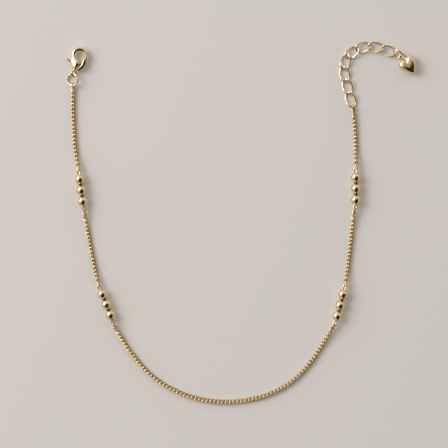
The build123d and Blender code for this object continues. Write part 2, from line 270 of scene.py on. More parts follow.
table_mesh = bpy.data.meshes.new("table")
table_mesh.from_pydata([(-1, -1, 0), (1, -1, 0), (1, 1, 0), (-1, 1, 0)], [], [(0, 1, 2, 3)])
table = bpy.data.objects.new("table", table_mesh)
bpy.context.scene.collection.objects.link(table)
table_matter = bpy.data.materials.new("matt pale table")
table_matter.use_nodes = True
tree = table_matter.node_tree
shader = tree.nodes["Principled BSDF"]
shader.inputs["Base Color"].default_value = linear(TABLE_COLOUR)
shader.inputs["Roughness"].default_value = TABLE_ROUGHNESS
shader.inputs["Specular IOR Level"].default_value = TABLE_GLOSS
glow = add_node(tree, "ShaderNodeEmission", Color=linear(TABLE_COLOUR), Strength=1.0)
ray = add_node(tree, "ShaderNodeLightPath").outputs
seen = ray["Is Camera Ray"]
for kind in ("Is Glossy Ray", "Is Transmission Ray"):
    seen = add_node(tree, "ShaderNodeMath", {"operation": "MAXIMUM"}, _0=seen,
                    _1=ray[kind]).outputs[0]
share = add_node(tree, "ShaderNodeMath", {"operation": "MULTIPLY"}, _0=seen,
                 _1=TABLE_GLOW).outputs[0]
both = add_node(tree, "ShaderNodeMixShader", _0=share, _1=shader.outputs[0], _2=glow.outputs[0])
tree.links.new(both.outputs[0], tree.nodes["Material Output"].inputs["Surface"])
table_mesh.materials.append(table_matter)
bpy.context.scene.view_settings.view_transform = "Standard"

# %% [markdown]
# ## Gold-plated brass
# Cheap gold-coloured jewellery is brass with a thin gold plating. It is a metal, so all its
# colour is in what it reflects. How bright and sharp that is depends on how the surface was
# made: beads are rolled and polished to a mirror, a heart is stamped and polished nearly as
# bright, wire is drawn and only tumbled, and a cast clasp keeps a soft skin. The wire between
# the beads gets a dark brown, dull gold: painted shade, for the shadow that falls between the
# beads. Each finish is the same small recipe: a base colour with faint patches where the
# plating is thinner, a roughness that varies a little, and a fine bump. The patches are about
# 2 mm across, or 0.6 mm on the darkened core wire. Tumbling leaves ripples 0.3 to 0.9 mm wide
# and a thousandth of a millimetre deep, which only a close view shows.

# %% Plated gold
# the noise seldom leaves this range, over which the roughness goes from least to most worn
NOISE_LOW, NOISE_HIGH = 0.3, 0.7
LEAST_WEAR, MOST_WEAR = 0.8, 1.25


def plated_gold(finish, colour, thin_colour, roughness, patch_size, ripple_size,
                ripple_depth=0.000001):
    """Metal whose colour and roughness drift over patches, with a fine ripple as bump. A
    noise texture's scale is one over its patch size."""
    matter = bpy.data.materials.new("gold-plated brass, " + finish)
    matter.use_nodes = True
    tree = matter.node_tree
    shader = tree.nodes["Principled BSDF"]
    shader.inputs["Metallic"].default_value = 1.0
    place = add_node(tree, "ShaderNodeTexCoord").outputs["Object"]
    patches = add_node(tree, "ShaderNodeTexNoise", Vector=place, Scale=1 / patch_size,
                       Detail=3.0).outputs["Fac"]
    tint = add_node(tree, "ShaderNodeMix", {"data_type": "RGBA"}, _0=patches,
                    _6=linear(colour), _7=linear(thin_colour)).outputs[2]
    tree.links.new(tint, shader.inputs["Base Color"])
    wear = add_node(tree, "ShaderNodeMapRange", Value=patches, From_Min=NOISE_LOW,
                    From_Max=NOISE_HIGH, To_Min=roughness * LEAST_WEAR,
                    To_Max=roughness * MOST_WEAR).outputs["Result"]
    tree.links.new(wear, shader.inputs["Roughness"])
    ripple = add_node(tree, "ShaderNodeTexNoise", Vector=place, Scale=1 / ripple_size,
                      Detail=2.0).outputs["Fac"]
    bump = add_node(tree, "ShaderNodeBump", Height=ripple, Strength=1.0,
                    Distance=ripple_depth).outputs["Normal"]
    tree.links.new(bump, shader.inputs["Normal"])
    return matter


# %% The six golds
# a mirror: the window stands in it as a sharp white spot
mirror_gold = plated_gold("polished ball", "#F0DAB0", "#EAD1A2", roughness=0.07,
                          patch_size=0.0021, ripple_size=0.0006, ripple_depth=0.0000008)
# bright, but with softer edges to what it shows
wire_gold = plated_gold("drawn and tumbled wire", "#F0DCB6", "#E6CEA1", roughness=0.13,
                        patch_size=0.0016, ripple_size=0.0003)
# a little deeper in colour, because its plating is thin
chain_gold = plated_gold("fine chain wire", "#EAD1A0", "#DAC18D", roughness=0.14,
                         patch_size=0.0016, ripple_size=0.0003)
# painted shade: a dark brown line between the beads, where they shade the wire
painted_shade_core_gold = plated_gold("dulled wire inside the beads", "#8A6C3C", "#6E5228", roughness=0.30,
                        patch_size=0.0006, ripple_size=0.0003)
# broad pale faces, with soft ridges between them
cast_gold = plated_gold("cast and tumbled", "#F0DCB6", "#E8D1A5", roughness=0.11,
                        patch_size=0.0022, ripple_size=0.0005)
# nearly a mirror, so that the dome shows one pale and one dark side of the room
stamped_gold = plated_gold("stamped and polished", "#EED9B1", "#E6CE9F", roughness=0.08,
                           patch_size=0.0024, ripple_size=0.0009)
print([matter.name for matter in bpy.data.materials])


# %% Handing a piece over
def finish_piece(piece, body, matter, slot, *nodes):
    """Gives a piece its body and its material, unless its parts already have theirs, and hides
    the CAD nodes that it stands for. The slot is not used."""
    if not piece.data.materials:
        piece.data.materials.append(matter)
    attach(piece, body)
    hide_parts(*nodes)
    print(piece.name, "rides on", body, "for", *nodes)


# %% [markdown]
# ## Bead stations
# Three polished balls sit on one stiff wire. A sphere with a hole cut through it would have
# slivers of faces round the hole, where polish shows them most. So the skin of a bead is a
# closed profile turned about the hole: a long arc outside, and the bore inside. A station
# has a place and a heading, and its two eyes are bent a little towards the chain.

# %% Where the stations are
#   x, y, heading, bend of the eye behind, bend of the eye ahead
STATIONS = [
    (-0.04814, 0.00957, -82.9, 0, 6),
    (-0.04060, -0.02466, -68.3, 0, -2),
    (0.02945, -0.02490, 75.0, -7, 2),
    (0.03413, 0.01006, 90.0, -8, 0),
]
BEAD_RADIUS = 0.001525
BEAD_SPACING = 0.00335
BEAD_HOLE_RADIUS = 0.00058
BEAD_LIP = 0.00005
BEAD_HEIGHT = BEAD_RADIUS


# %% One bead, turned about its hole
def bead_rings(turns=56, steps=40):
    """Profile of a drilled ball: (R cos a, R sin a) from one mouth of the hole to the other,
    then a small lip, and back through the bore in a straight line, all turned about X."""
    mouth = math.asin(BEAD_HOLE_RADIUS / BEAD_RADIUS)
    a = np.linspace(mouth, np.pi - mouth, steps)
    outside = np.stack([BEAD_RADIUS * np.cos(a), BEAD_RADIUS * np.sin(a)], axis=1)
    end = outside[-1, 0]
    x = np.array([end + BEAD_LIP, end / 2, 0, -end / 2, -end - BEAD_LIP])
    bore = np.stack([x, np.full(len(x), BEAD_HOLE_RADIUS - BEAD_LIP)], axis=1)
    profile = np.concatenate([outside, bore])
    turn = np.linspace(0, 2 * np.pi, turns, endpoint=False)[:, None]
    return np.stack([profile[:, 0] + 0 * turn, profile[:, 1] * np.cos(turn),
                     profile[:, 1] * np.sin(turn)], axis=-1)


number = 0
for x, y, heading, _, _ in STATIONS:
    for step in (-1, 0, 1):
        number += 1
        node = f"bead_{number:02d}"
        centre = np.array([x, y, BEAD_HEIGHT]) + way(heading) * step * BEAD_SPACING
        bead = skin(node + "_ball", carry(bead_rings(), centre, way(heading)), looped=True)
        finish_piece(bead, "anklet", mirror_gold, "bead_gold", node)

# %% [markdown]
# ## The station's wire
# The wire ends in a drop-shaped eye on both sides: it leaves the bead as two strands, opens
# and closes round. It could be drawn as two lines and an arc, with a kink wherever they
# meet. Here the drop is one formula, with its point inside the bead's hole, and the fine
# chain hooks its round end. Between the beads a thicker core shows.

# %% Eyes and core
# the point of an eye, counted from the middle of the last bead and of the station
EYE_SEAT = 0.00095
EYE_START = BEAD_SPACING + EYE_SEAT
EYE_REACH = 0.002115
EYE_HALF_WIDTH = 0.00044
EYE_WIRE_RADIUS = 0.00028
# largest value of sin t sin(t / 2)
DROP_PEAK = 0.77
CORE_RADIUS = 0.0006
# the core runs on past the eyes' points, so that they grow out of it
CORE_OVERLAP = 0.0003


def drop_path(steps=64):
    """Drop-shaped loop: x = L (1 - cos t) / 2, y = W sin t sin(t / 2) / P, where P is the
    largest value of the sines' product, so that W is the drop's half width."""
    t = np.linspace(0, 2 * np.pi, steps, endpoint=False)
    x = EYE_REACH * (1 - np.cos(t)) / 2
    y = EYE_HALF_WIDTH / DROP_PEAK * np.sin(t) * np.sin(t / 2)
    return np.stack([x, y, 0 * t], axis=1)


# %% Eyes and core as one piece
def join(name, parts):
    """One object from several, the meshes simply put together."""
    with bpy.context.temp_override(active_object=parts[0], selected_editable_objects=parts):
        bpy.ops.object.join()
    parts[0].name = name
    parts[0].data.name = name
    return parts[0]


for index, (x, y, heading, bend_in, bend_out) in enumerate(STATIONS, start=1):
    middle = np.array([x, y, BEAD_HEIGHT])
    parts = []
    for side, bend in ((-1, bend_in), (1, bend_out)):
        start = middle + way(heading) * side * EYE_START
        path = carry(drop_path(), start, way(heading + bend) * side)
        parts.append(skin("eye", round_wire(path, EYE_WIRE_RADIUS), looped=True))
        parts[-1].data.materials.append(wire_gold)
    core_end = EYE_START + CORE_OVERLAP
    core = np.linspace(-core_end, core_end, 9)[:, None] * way(heading) + middle
    parts.append(skin("core", round_wire(core, CORE_RADIUS, sides=20, looped=False)))
    # the core takes the dark gold: painted shade between the beads
    parts[-1].data.materials.append(painted_shade_core_gold)
    wire = join(f"station_{index}_wire", parts)
    finish_piece(wire, "anklet", wire_gold, "chain_gold", f"station_wire_{index}")

# %% [markdown]
# ## Extender links
# A curb link is an oval of wire with a twist, so that a whole chain of them lies flat. A
# torus could be squashed and then twisted, but one formula gives both: the centre line is an
# ellipse whose height swings twice as fast as it goes round. The wire's two ends meet in the
# middle of one side, where a real link shows a hairline seam.

# %% Where the links lie
#   x, y, heading
EXTENDER = [
    (0.03263, 0.03672, 110),
    (0.03168, 0.04055, 105),
    (0.03084, 0.04429, 102),
    (0.03102, 0.04798, 75),
    (0.03305, 0.05083, 38),
    (0.03642, 0.05244, 12),
    (0.04019, 0.05244, -10),
    (0.04396, 0.05132, -21),
]
LINK_HALF_LENGTH = 0.00230
LINK_HALF_WIDTH = 0.00142
LINK_TWIST = 0.00040
LINK_WIRE_RADIUS = 0.000275
LINK_SEAM = 0.00004


# %% A twisted link
def twisted_link(half_length, half_width, twist, steps, seam=0.0, drawn=1.0):
    """Centre line (a C, b S, -c sin 2t), with C and S the cosine and sine of t raised to the
    power drawn, their signs kept: above 1, the sides are drawn straight. With a seam, the
    line is open: it starts and ends beside t = 90 degrees, in the middle of a long side."""
    if seam:
        gap = seam / 2 / half_length
        t = np.pi / 2 + np.linspace(gap, 2 * np.pi - gap, steps)
    else:
        t = np.linspace(0, 2 * np.pi, steps, endpoint=False)
    c, s = (np.sign(v) * np.abs(v) ** drawn for v in (np.cos(t), np.sin(t)))
    return np.stack([half_length * c, half_width * s, -twist * np.sin(2 * t)], axis=1)


link_line = twisted_link(LINK_HALF_LENGTH, LINK_HALF_WIDTH, LINK_TWIST, 96, LINK_SEAM)
link_rings = round_wire(link_line, LINK_WIRE_RADIUS, sides=16, looped=False)
for index, (x, y, heading) in enumerate(EXTENDER, start=1):
    centre = (x, y, LINK_TWIST + LINK_WIRE_RADIUS)
    link = skin(f"extender_{index}_link", carry(link_rings, centre, way(heading)))
    finish_piece(link, "anklet", wire_gold, "ring_gold", f"extender_link_{index}")

# %% [markdown]
# ## Jump rings
# Two plain rings of wire tie the clasp and the heart to the chain. Neither lies flat: each
# is tilted about the line between the two things that it joins, held up by what it carries.
# They are circles of wire, with the same butt seam as a link. A torus would do, if the seam
# were left out.

# %% Leaning rings
RING_HALF_SEAM = 0.00003


def leaning_frame(heading, tilt):
    """Way along which a ring ties its two neighbours, and the normal of its plane, which
    is tilted about that way."""
    along, across = way(heading), way(heading - 90)
    up_slope = across * math.cos(math.radians(tilt)) + UP * math.sin(math.radians(tilt))
    return along, np.cross(along, up_slope)


def jump_ring(name, centre, radius, wire, heading, tilt, seam_at):
    """Circle (r cos t, r sin t) in a tilted plane, low enough that its lowest wire touches
    the table, open by a hair at one angle."""
    along, normal = leaning_frame(heading, tilt)
    height = radius * abs(math.sin(math.radians(tilt))) + wire
    gap = RING_HALF_SEAM / radius
    t = math.radians(seam_at) + np.linspace(gap, 2 * np.pi - gap, 80)
    flat = np.stack([radius * np.cos(t), radius * np.sin(t), 0 * t], axis=1)
    path = carry(flat, (*centre, height), along, normal)
    return skin(name, round_wire(path, wire, normal=unit(normal), sides=16, looped=False))


# %% The two rings
CLASP_RING = dict(centre=(-0.05072, 0.04267), radius=0.00172, wire=0.00031,
                  heading=97, tilt=25.2)
HEART_RING = dict(centre=(0.04665, 0.05043), radius=0.00137, wire=0.00028,
                  heading=-35, tilt=-49.9)
finish_piece(jump_ring("clasp_jump_ring", seam_at=60, **CLASP_RING), "anklet", wire_gold,
             "ring_gold", "clasp_ring")
finish_piece(jump_ring("heart_jump_ring", seam_at=100, **HEART_RING), "anklet", wire_gold,
             "ring_gold", "heart_ring")

# %% [markdown]
# ## The fine chain
# This is a curb chain about 1.5 mm wide, with a link every 1.15 mm. The CAD model stands for
# it with a plain oval bar, so the links are made here. An array modifier on a curve could set
# them out, but it bends every link, and gives no say over how one is turned. So the route of
# each stretch is a few points, Blender's own NURBS spline makes a smooth line of them, and
# links are set along that line by its length. Each stands a little askew, which gives the
# fine slanting strokes that such a chain shows. At each end of a stretch the last links turn
# on their sides, because a flat link can't hook a flat eye.

# %% Routes of the five stretches
ROUTES = {
    "chain_clasp_side": [(-0.05062, 0.0374), (-0.05058, 0.0324), (-0.05028, 0.0264),
                         (-0.04988, 0.0206)],
    "chain_left": [(-0.04642, -0.0015), (-0.04525, -0.0080), (-0.0441, -0.0139)],
    "chain_front": [(-0.0362, -0.0346), (-0.0322, -0.0406), (-0.0266, -0.0467),
                    (-0.0193, -0.0511), (-0.0106, -0.0537), (-0.0016, -0.0540),
                    (0.0073, -0.0522), (0.0149, -0.0482), (0.0203, -0.0427),
                    (0.0246, -0.0362)],
    "chain_right": [(0.03172, -0.0139), (0.03252, -0.0076), (0.0331, -0.0015)],
    "chain_extender_side": [(0.0342, 0.0216), (0.03405, 0.0266), (0.03382, 0.0306)],
}
CHAIN_HEIGHT = 0.00055
CHAIN_PITCH = 0.00115

# %% One link of the fine chain
# there are 153 of them, so each has few faces; neighbours press into each other by a third
# of their wire, which shows only very close up
CHAIN_HALF_LENGTH = 0.00085
CHAIN_HALF_WIDTH = 0.00051
CHAIN_TWIST = 0.00038
CHAIN_WIRE_RADIUS = 0.00024
CHAIN_DRAWN = 1.25
CHAIN_SLANT = math.radians(12)

askew = (math.cos(CHAIN_SLANT), math.sin(CHAIN_SLANT), 0)
chain_link_line = carry(twisted_link(CHAIN_HALF_LENGTH, CHAIN_HALF_WIDTH, CHAIN_TWIST, 16,
                                     drawn=CHAIN_DRAWN), (0, 0, 0), askew)
chain_link_rings = round_wire(chain_link_line, CHAIN_WIRE_RADIUS, sides=6)
print("link", np.round(1000 * np.ptp(chain_link_rings.reshape(-1, 3), axis=0), 2), "mm")


# %% What each stretch hooks
def eye_hook(station, side):
    """Round end of a station's eye: the wire's middle there, the wire's way and its radius."""
    x, y, heading, bend_in, bend_out = station
    bend = bend_out if side > 0 else bend_in
    start = np.array([x, y, BEAD_HEIGHT]) + way(heading) * side * EYE_START
    round_end = start + way(heading + bend) * side * EYE_REACH
    return round_end, way(heading + bend + 90), EYE_WIRE_RADIUS


ring_along, ring_normal = leaning_frame(CLASP_RING["heading"], CLASP_RING["tilt"])
ring_height = (CLASP_RING["radius"] * math.sin(math.radians(CLASP_RING["tilt"]))
               + CLASP_RING["wire"])
ring_low_end = np.array([*CLASP_RING["centre"], ring_height]) - ring_along * CLASP_RING["radius"]
x, y, heading = EXTENDER[0]
first_link_end = (np.array([x, y, LINK_TWIST + LINK_WIRE_RADIUS])
                  - way(heading) * LINK_HALF_LENGTH)
link_end_way = way(heading + 90) * LINK_HALF_WIDTH + UP * 2 * LINK_TWIST

hooks = [(ring_low_end, np.cross(ring_normal, ring_along), CLASP_RING["wire"])]
hooks += [eye_hook(station, side) for station in STATIONS for side in (-1, 1)]
hooks += [(first_link_end, link_end_way, LINK_WIRE_RADIUS)]
print(len(hooks), "hooks, a pair to a stretch")


# %% A smooth line along a route
SPLINE_STEPS = 24


def smooth_line(name, points):
    """Points along the NURBS spline that has these control points, ends included."""
    curve = bpy.data.curves.new(name, "CURVE")
    curve.dimensions = "3D"
    curve.resolution_u = SPLINE_STEPS
    spline = curve.splines.new("NURBS")
    spline.points.add(len(points) - 1)
    for control, point in zip(spline.points, points):
        control.co = (*point, 1)
    spline.order_u = 3
    spline.use_endpoint_u = True
    holder = bpy.data.objects.new(name, curve)
    bpy.context.scene.collection.objects.link(holder)
    mesh = bpy.data.meshes.new_from_object(holder)
    line = np.zeros(len(mesh.vertices) * 3)
    mesh.vertices.foreach_get("co", line)
    bpy.data.objects.remove(holder)
    return line.reshape(-1, 3)


# %% How a link is turned
# share of the end's roll that the last link, the one before it and the third have
END_SHARES = np.array([1, 0.62, 0.27])
LOOSE_ROLL = 2.5


def roll_of(normal, ahead):
    """Angle by which the table's normal turns about the way ahead to give this normal."""
    side = unit(np.cross(UP, ahead))
    top = np.cross(ahead, side)
    return math.degrees(math.atan2(-normal @ side, normal @ top))


def link_axes(ahead, start_wire, end_wire, jitter):
    """Three axes for each link: ahead, and the level side and the top, both rolled about
    ahead: fully to hook the wire at an end, less on the next two links, and by a degree or
    two at random everywhere. Half a turn leaves a link as it was, so the roll at an end
    is kept within 180 degrees."""
    start_roll = -(-roll_of(start_wire, ahead[0]) % 180)
    end_roll = roll_of(end_wire, ahead[-1]) % 180
    roll = jitter.uniform(-LOOSE_ROLL, LOOSE_ROLL, len(ahead))
    roll[:3] += start_roll * END_SHARES
    roll[-3:] += end_roll * END_SHARES[::-1]
    roll = np.radians(roll)[:, None]
    side = unit(np.cross(UP, ahead))
    top = np.cross(ahead, side)
    return np.stack([ahead, np.cos(roll) * side + np.sin(roll) * top,
                     np.cos(roll) * top - np.sin(roll) * side], axis=1)


# %% Links along the line
# the spline starts and ends this far from a hook, and the way ahead is taken over this much
# of the line on both sides of a link
HOOK_LEAD = 0.0005
AHEAD_REACH = 0.0004


def chain_links(name, route, start, end, jitter):
    """Copies of one twisted link at even steps of length along the route's spline, from a
    hook at its start to a hook at its end. A copy's points are centre + x * ahead + y * side
    + z * top, and a link that would dip below the table is lifted on to it."""
    (start_hook, start_wire, start_radius), (end_hook, end_wire, end_radius) = start, end
    flat = [np.array([*point, CHAIN_HEIGHT]) for point in route]
    leads = [hook + unit(near - hook) * HOOK_LEAD
             for hook, near in ((start_hook, flat[0]), (end_hook, flat[-1]))]
    line = np.concatenate([[start_hook], smooth_line(name, [leads[0]] + flat + [leads[1]]),
                           [end_hook]])
    steps = np.linalg.norm(np.diff(line, axis=0), axis=1)
    length = np.concatenate([[0], np.cumsum(steps)])
    inset = CHAIN_HALF_LENGTH - CHAIN_WIRE_RADIUS
    first, last = inset - start_radius, length[-1] - inset + end_radius
    count = round((last - first) / CHAIN_PITCH) + 1
    at = np.linspace(first, last, count)

    def along(distance):
        return np.stack([np.interp(distance, length, line[:, k]) for k in range(3)], axis=-1)

    ahead = unit(along(at + AHEAD_REACH) - along(at - AHEAD_REACH))
    axes = link_axes(ahead, start_wire, end_wire, jitter)
    copies = along(at)[:, None, None] + np.einsum("rsi,kij->krsj", chain_link_rings, axes)
    copies[..., 2] -= np.minimum(copies[..., 2].min(axis=(1, 2)), 0)[:, None, None]
    print(name, count, "links, pitch", round(1000 * (at[1] - at[0]), 3), "mm")
    return skin(name + "_links", copies, looped=True)


jitter = np.random.default_rng(7)
for index, (name, route) in enumerate(ROUTES.items()):
    links = chain_links(name, route, hooks[2 * index], hooks[2 * index + 1], jitter)
    finish_piece(links, "anklet", chain_gold, "chain_gold", name)

# %% [markdown]
# ## The puffed heart
# The heart is stamped in two domed halves that are soldered at the rim. A flat heart could be
# inflated by a cloth or a subdivision modifier, but then the dome's slopes, which decide what
# the polish shows, come out by chance. Here the outline is five arcs that touch, and the skin
# is that outline again and again: shrinking towards the middle while it rises, and growing
# rounder, so that the crown is smooth. A small rib stands where the halves meet.

# %% Heart sizes
HEART_CENTRE = (0.0498, 0.04725, 0.00146)
HEART_HEADING = 125.1
HEART_HALF_THICKNESS = 0.00142
LOBE_CENTRE = np.array([0.00134, 0.00088])
LOBE_RADIUS = 0.00136
FLANK_RADIUS = 0.0078
TIP_CENTRE = np.array([0.0, -0.00305])
TIP_RADIUS = 0.00045
HEART_MIDDLE = np.array([0.0, -0.00045])


def arc(centre, radius, start, end, steps):
    """Points c + r (cos a, sin a) from one angle to another."""
    a = np.linspace(start, end, steps)[:, None]
    return centre + radius * np.concatenate([np.cos(a), np.sin(a)], axis=1)


def angle_of(v):
    """Angle of a flat vector from +X, in radians."""
    return math.atan2(v[1], v[0])


# %% Heart outline
def heart_outline(steps=96):
    """Right lobe, right flank and half the tip as arcs that touch, mirrored to the left, then
    spread evenly by length. The flank's centre is where the circles about the lobe and the
    tip, of radii F - r, cross."""
    apart = np.linalg.norm(LOBE_CENTRE - TIP_CENTRE)
    to_lobe, to_tip = FLANK_RADIUS - LOBE_RADIUS, FLANK_RADIUS - TIP_RADIUS
    along = (to_tip**2 - to_lobe**2 + apart**2) / (2 * apart)
    forward = (LOBE_CENTRE - TIP_CENTRE) / apart
    aside = math.sqrt(to_tip**2 - along**2)
    flank = TIP_CENTRE + forward * along + np.array([-forward[1], forward[0]]) * aside
    notch = np.array([0, LOBE_CENTRE[1] + math.sqrt(LOBE_RADIUS**2 - LOBE_CENTRE[0]**2)])
    lobe_end, tip_end = angle_of(LOBE_CENTRE - flank), angle_of(TIP_CENTRE - flank)
    right = np.concatenate([
        arc(LOBE_CENTRE, LOBE_RADIUS, angle_of(notch - LOBE_CENTRE), lobe_end, 60),
        arc(flank, FLANK_RADIUS, lobe_end, tip_end, 60)[1:],
        arc(TIP_CENTRE, TIP_RADIUS, tip_end, -math.pi / 2, 20)[1:],
    ])
    whole = np.concatenate([right, right[-2::-1] * [-1, 1]])
    length = np.concatenate([[0], np.cumsum(np.linalg.norm(np.diff(whole, axis=0), axis=1))])
    even = np.linspace(0, length[-1], steps, endpoint=False)
    return np.stack([np.interp(even, length, whole[:, k]) for k in (0, 1)], axis=1)


print("heart outline", np.round(1000 * np.ptp(heart_outline(), axis=0), 2), "mm")

# %% Heart skin
# the dome: its height, and how square it looks from the side, where 2 would be an ellipse
HEART_TOP = 0.00122
DOME_POWER = 3.2
# the top's slopes, up to both sides and down to the notch, and the width of the crease
HALF_LEAN, NOTCH_LEAN = 0.165, 0.115
CREASE_WIDTH = 0.0003
# parts of the outline's size at the foot of the dome, at the rim's edges and at its middle
WALL_SCALE, RIM_EDGE_SCALE, RIM_SCALE = 0.935, 0.977, 0.997
RIM_HALF_WIDTH = 0.00012
# the oval near the crown: its half width, its height as a part of that, and how fast the
# outline turns into it
OVAL_HALF_WIDTH, OVAL_HEIGHT, OVAL_POWER = 0.0019, 0.95, 1.5


def heart_rings(rows=23):
    """Ring at lift a: the outline scaled by W cos(a)^(2/n) about the middle, at height
    T sin(a)^(2/n), which is a superellipse seen from the side: a flat crown and steep flanks.
    Near the crown the outline is mixed with an oval. The top rises with |x| and falls with
    y, so its halves lean towards each other and the notch, and meet in a shallow crease.
    Between top and bottom, three rings make the round rim."""
    lift = np.radians(np.linspace(2, 89, rows))
    scale = WALL_SCALE * np.cos(lift) ** (2 / DOME_POWER)
    rise = np.sin(lift) ** (2 / DOME_POWER)
    rim = [RIM_EDGE_SCALE, RIM_SCALE, RIM_EDGE_SCALE]
    scale = np.concatenate([scale[::-1], rim, scale])[:, None, None]
    rise = np.concatenate([-rise[::-1], [0, 0, 0], rise])[:, None, None]
    from_middle = heart_outline() - HEART_MIDDLE
    angle = np.arctan2(from_middle[:, 1], from_middle[:, 0])
    oval = OVAL_HALF_WIDTH * np.stack([np.cos(angle), OVAL_HEIGHT * np.sin(angle)], axis=1)
    mix = (1 - np.minimum(scale / WALL_SCALE, 1)) ** OVAL_POWER
    flat = HEART_MIDDLE + scale * ((1 - mix) * from_middle + mix * oval)
    height = np.where(rise < 0, HEART_HALF_THICKNESS, HEART_TOP) * rise + 0 * flat[..., :1]
    aside = np.sqrt(flat[..., :1] ** 2 + CREASE_WIDTH**2)
    lean = HALF_LEAN * aside - NOTCH_LEAN * flat[..., 1:]
    height = height + np.maximum(rise, 0) ** 2 * lean
    height[rows:rows + 3] += RIM_HALF_WIDTH * np.array([-1, 0, 1])[:, None, None]
    return np.concatenate([flat, height], axis=2)


# %% Bail, and the heart put together
BAIL_RADIUS = 0.00074
BAIL_STRAIGHT = 0.0006
BAIL_WIRE_RADIUS = 0.00028
BAIL_RISE = 0.00263


def bail_path(steps=64):
    """Long ring, above the heart's centre: x = r cos t, y = r sin t + s / 2 tanh(4 sin t),
    a circle whose two halves are pulled apart along Y by the straight length s."""
    t = np.linspace(0, 2 * np.pi, steps, endpoint=False)
    y = BAIL_RADIUS * np.sin(t) + BAIL_STRAIGHT / 2 * np.tanh(4 * np.sin(t)) + BAIL_RISE
    return np.stack([BAIL_RADIUS * np.cos(t), y, 0 * t], axis=1)


heart_along = way(HEART_HEADING - 90)
shell = skin("shell", carry(heart_rings(), HEART_CENTRE, heart_along))
bail = skin("bail", round_wire(carry(bail_path(), HEART_CENTRE, heart_along), BAIL_WIRE_RADIUS),
            looped=True)
finish_piece(join("puffed_heart", [shell, bail]), "anklet", stamped_gold, "heart_gold", "heart")

# %% [markdown]
# ## The lobster clasp
# The clasp is cast: a round hook that runs into a puffed hollow body, with a small eye
# soldered below. The sprung lever turns on a rivet inside the body. Its thick end is the
# gate that closes the hook, and its thin end comes out at the other side as a thumb tab.
# Castings like these are often sculpted by hand. Here each is a section that changes as it
# goes: it runs along a line, or between two edge lines like the ribs of a leaf. A section
# has a ridge, with a broad pale face on one side of it and a dark one on the other.

# %% Clasp frame and a smooth table
CLASP_CENTRE = (-0.04866, 0.0501, 0.0013)
CLASP_LEAN = -18
MM = 0.001


def in_clasp(points):
    """Points from the clasp's own frame to their place on the table."""
    return carry(points, CLASP_CENTRE, way(CLASP_LEAN))


def smooth_rows(table, steps):
    """Catmull-Rom curve through the rows of a table, all columns at once, in even steps."""
    rows = np.asarray(table, float)
    padded = np.concatenate([[2 * rows[0] - rows[1]], rows, [2 * rows[-1] - rows[-2]]])
    s = np.linspace(0, len(rows) - 1, steps)
    i = np.minimum(s.astype(int), len(rows) - 2)
    f = (s - i)[:, None]
    p, q, r, t = (padded[i + k] for k in range(4))
    return 0.5 * (2 * q + (r - p) * f + (2 * p - 5 * q + 4 * r - t) * f**2
                  + (3 * q - p - 3 * r + t) * f**3)


# %% Rings with a ridge
def closed_section(section, sides):
    """Half an outline, rows (u, w) from one edge, u = -1, to the other, u = 1, smoothed and
    mirrored below, so that it is closed: columns u and w."""
    half = smooth_rows(section, sides // 2 + 1)
    return np.concatenate([half, half[-2:0:-1] * [1, -1]]).T


def ribbed(middle, reach, thick, section, sides):
    """Rings middle + u * reach, at height w * thick, for the section's points (u, w)."""
    u, w = closed_section(section, sides)
    flat = middle[:, None] + u[:, None] * reach[:, None]
    return np.concatenate([flat, (w * thick[:, None])[..., None]], axis=2)


def leaf(table, section, steps=80, sides=44):
    """Rings of a leaf from rows (x1, y1, x2, y2, half thickness) in millimetres: each reaches
    from a point on one edge line to a point on the other."""
    rows = smooth_rows(table, steps) * MM
    one, two = rows[:, 0:2], rows[:, 2:4]
    return ribbed((one + two) / 2, (two - one) / 2, rows[:, 4], section, sides)


# %% Hook: a band round the hole, from its lip to the body's rim
BAND_RADIUS = 0.00184
BAND_HALF_WIDTH = 0.00054
HOOK_HALF_THICKNESS = 0.00080
#   across, up, from the inside of the hook: a low wall, a long flat face that leans in, a
#   ridge, and a face that falls away outwards
BAND_SECTION = [
    (-1, 0), (-1, 0.6), (-0.96, 0.76), (-0.85, 0.84), (-0.4, 0.92), (-0.1, 0.98), (0.05, 1.0),
    (0.2, 0.985), (0.6, 0.85), (0.9, 0.66), (1, 0.45), (1, 0),
]
LIP_RADIUS = 0.012
LIP_END, HOOK_START, HOOK_END = 25.2, 35, 256
RIM_END = np.array([0.00088, -0.00196])
# share of the whole line, and the width and thickness there as parts of the band's
WIDTH_AT = [(0, 0.74), (0.15, 1), (0.55, 1), (0.75, 0.64), (1, 0.40)]
THICKNESS_AT = [(0.6, 1), (0.8, 1.3), (1, 1.25)]


def hook_rings(sides=40):
    """Ridged section along a line in three stretches: the tip, an arc of large radius that
    leaves the hook outwards; the round hook; and the rim, straight to the hole's corner. The
    first four rings taper, so that the tip ends round."""
    tip_end, start, end = (math.radians(a) for a in (LIP_END, HOOK_START, HOOK_END))
    tip_centre = way(HOOK_START)[:2] * (BAND_RADIUS - LIP_RADIUS)
    tip = arc(tip_centre, LIP_RADIUS, tip_end, start, 14)
    hook = arc(np.zeros(2), BAND_RADIUS, start, end, 64)[1:]
    rim = hook[-1] + (RIM_END - hook[-1]) * np.linspace(0, 1, 16)[1:, None]
    line = np.concatenate([tip, hook, rim])
    ahead = unit(np.gradient(line, axis=0))
    side = np.stack([ahead[:, 1], -ahead[:, 0]], axis=1)
    ring = np.arange(len(line))
    along = ring / (len(line) - 1)
    taper = np.clip(ring / 4, 0.25, 1) ** 0.5
    width = BAND_HALF_WIDTH * taper * np.interp(along, *np.transpose(WIDTH_AT))
    thick = HOOK_HALF_THICKNESS * taper * np.interp(along, *np.transpose(THICKNESS_AT))
    return ribbed(line, side * width[:, None], thick, BAND_SECTION, sides)


hook = skin("hook", in_clasp(hook_rings()))

